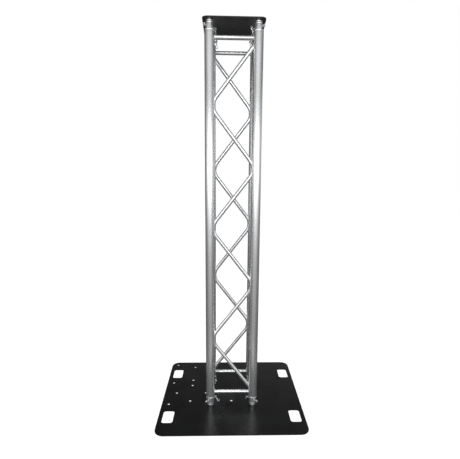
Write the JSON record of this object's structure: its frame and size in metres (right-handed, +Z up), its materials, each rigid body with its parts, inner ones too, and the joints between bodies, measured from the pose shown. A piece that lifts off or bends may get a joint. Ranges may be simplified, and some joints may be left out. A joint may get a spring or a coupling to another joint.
{
  "type": "lighting truss section",
  "caption": "Square aluminium box truss standing on a steel base plate with a steel top plate, joined by pinned conical couplers, for lights or a display.",
  "frame": {"origin": "centre of the base plate's underside, on the floor", "axes": "+Z up along the truss, -Y towards the front face, +X to the right seen from the front"},
  "size_m": [0.8, 0.8, 2.044],
  "materials": {
    "black_steel": "satin black powder coat",
    "aluminium_tube": "mill-finish extruded aluminium with fine lengthwise marks",
    "machined_aluminium": "turned aluminium",
    "zinc_steel": "bright zinc plated",
    "spring_steel": "bright zinc plated wire"
  },
  "bodies": {
    "truss_tower": {"base_plate": "black_steel", "top_plate": "black_steel", "chord_front_left": "aluminium_tube", "chord_front_right": "aluminium_tube", "chord_rear_right": "aluminium_tube", "chord_rear_left": "aluminium_tube", "lattice_front": "aluminium_tube", "brace_bottom_front": "aluminium_tube", "brace_top_front": "aluminium_tube", "lattice_right": "aluminium_tube", "brace_bottom_right": "aluminium_tube", "brace_top_right": "aluminium_tube", "lattice_rear": "aluminium_tube", "brace_bottom_rear": "aluminium_tube", "brace_top_rear": "aluminium_tube", "lattice_left": "aluminium_tube", "brace_bottom_left": "aluminium_tube", "brace_top_left": "aluminium_tube", "receiver_bottom_front_left": "machined_aluminium", "half_coupler_bottom_front_left": "machined_aluminium", "coupler_bolt_bottom_front_left": "zinc_steel", "receiver_bottom_front_right": "machined_aluminium", "half_coupler_bottom_front_right": "machined_aluminium", "coupler_bolt_bottom_front_right": "zinc_steel", "receiver_bottom_rear_right": "machined_aluminium", "half_coupler_bottom_rear_right": "machined_aluminium", "coupler_bolt_bottom_rear_right": "zinc_steel", "receiver_bottom_rear_left": "machined_aluminium", "half_coupler_bottom_rear_left": "machined_aluminium", "coupler_bolt_bottom_rear_left": "zinc_steel", "receiver_top_front_left": "machined_aluminium", "half_coupler_top_front_left": "machined_aluminium", "coupler_bolt_top_front_left": "zinc_steel", "receiver_top_front_right": "machined_aluminium", "half_coupler_top_front_right": "machined_aluminium", "coupler_bolt_top_front_right": "zinc_steel", "receiver_top_rear_right": "machined_aluminium", "half_coupler_top_rear_right": "machined_aluminium", "coupler_bolt_top_rear_right": "zinc_steel", "receiver_top_rear_left": "machined_aluminium", "half_coupler_top_rear_left": "machined_aluminium", "coupler_bolt_top_rear_left": "zinc_steel"},
    "pin_bottom_front_left": {"coupler_pin_bottom_front_left": "zinc_steel"},
    "clip_bottom_front_left": {"pin_clip_bottom_front_left": "spring_steel"},
    "pin_bottom_front_right": {"coupler_pin_bottom_front_right": "zinc_steel"},
    "clip_bottom_front_right": {"pin_clip_bottom_front_right": "spring_steel"},
    "pin_bottom_rear_right": {"coupler_pin_bottom_rear_right": "zinc_steel"},
    "clip_bottom_rear_right": {"pin_clip_bottom_rear_right": "spring_steel"},
    "pin_bottom_rear_left": {"coupler_pin_bottom_rear_left": "zinc_steel"},
    "clip_bottom_rear_left": {"pin_clip_bottom_rear_left": "spring_steel"},
    "pin_top_front_left": {"coupler_pin_top_front_left": "zinc_steel"},
    "clip_top_front_left": {"pin_clip_top_front_left": "spring_steel"},
    "pin_top_front_right": {"coupler_pin_top_front_right": "zinc_steel"},
    "clip_top_front_right": {"pin_clip_top_front_right": "spring_steel"},
    "pin_top_rear_right": {"coupler_pin_top_rear_right": "zinc_steel"},
    "clip_top_rear_right": {"pin_clip_top_rear_right": "spring_steel"},
    "pin_top_rear_left": {"coupler_pin_top_rear_left": "zinc_steel"},
    "clip_top_rear_left": {"pin_clip_top_rear_left": "spring_steel"}
  },
  "joints": [
    {"name": "pin_slide_bottom_front_left", "type": "slide", "parent": "truss_tower", "child": "pin_bottom_front_left", "axis": [-0.7071, -0.7071, 0], "range_m": [0, 0.02]},
    {"name": "clip_pull_bottom_front_left", "type": "slide", "parent": "pin_bottom_front_left", "child": "clip_bottom_front_left", "axis": [0.6762, -0.6762, -0.2924], "range_m": [0, 0.02]},
    {"name": "pin_slide_bottom_front_right", "type": "slide", "parent": "truss_tower", "child": "pin_bottom_front_right", "axis": [0.7071, -0.7071, 0], "range_m": [0, 0.02]},
    {"name": "clip_pull_bottom_front_right", "type": "slide", "parent": "pin_bottom_front_right", "child": "clip_bottom_front_right", "axis": [0.7032, 0.7032, -0.1045], "range_m": [0, 0.02]},
    {"name": "pin_slide_bottom_rear_right", "type": "slide", "parent": "truss_tower", "child": "pin_bottom_rear_right", "axis": [0.7071, 0.7071, 0], "range_m": [0, 0.02]},
    {"name": "clip_pull_bottom_rear_right", "type": "slide", "parent": "pin_bottom_rear_right", "child": "clip_bottom_rear_right", "axis": [-0.6243, 0.6243, 0.4695], "range_m": [0, 0.02]},
    {"name": "pin_slide_bottom_rear_left", "type": "slide", "parent": "truss_tower", "child": "pin_bottom_rear_left", "axis": [-0.7071, 0.7071, 0], "range_m": [0, 0.01]},
    {"name": "clip_pull_bottom_rear_left", "type": "slide", "parent": "pin_bottom_rear_left", "child": "clip_bottom_rear_left", "axis": [0.0493, 0.0493, 0.9976], "range_m": [0, 0.02]},
    {"name": "pin_slide_top_front_left", "type": "slide", "parent": "truss_tower", "child": "pin_top_front_left", "axis": [-0.7071, -0.7071, 0], "range_m": [0, 0.01]},
    {"name": "clip_pull_top_front_left", "type": "slide", "parent": "pin_top_front_left", "child": "clip_top_front_left", "axis": [0.0862, -0.0862, -0.9925], "range_m": [0, 0.02]},
    {"name": "pin_slide_top_front_right", "type": "slide", "parent": "truss_tower", "child": "pin_top_front_right", "axis": [0.7071, -0.7071, 0], "range_m": [0, 0.01]},
    {"name": "clip_pull_top_front_right", "type": "slide", "parent": "pin_top_front_right", "child": "clip_top_front_right", "axis": [0.1711, 0.1711, -0.9703], "range_m": [0, 0.02]},
    {"name": "pin_slide_top_rear_right", "type": "slide", "parent": "truss_tower", "child": "pin_top_rear_right", "axis": [0.7071, 0.7071, 0], "range_m": [0, 0.01]},
    {"name": "clip_pull_top_rear_right", "type": "slide", "parent": "pin_top_rear_right", "child": "clip_top_rear_right", "axis": [-0.0123, 0.0123, -0.9998], "range_m": [0, 0.02]},
    {"name": "pin_slide_top_rear_left", "type": "slide", "parent": "truss_tower", "child": "pin_top_rear_left", "axis": [-0.7071, 0.7071, 0], "range_m": [0, 0.01]},
    {"name": "clip_pull_top_rear_left", "type": "slide", "parent": "pin_top_rear_left", "child": "clip_top_rear_left", "axis": [-0.0247, -0.0247, -0.9994], "range_m": [0, 0.02]}
  ]
}
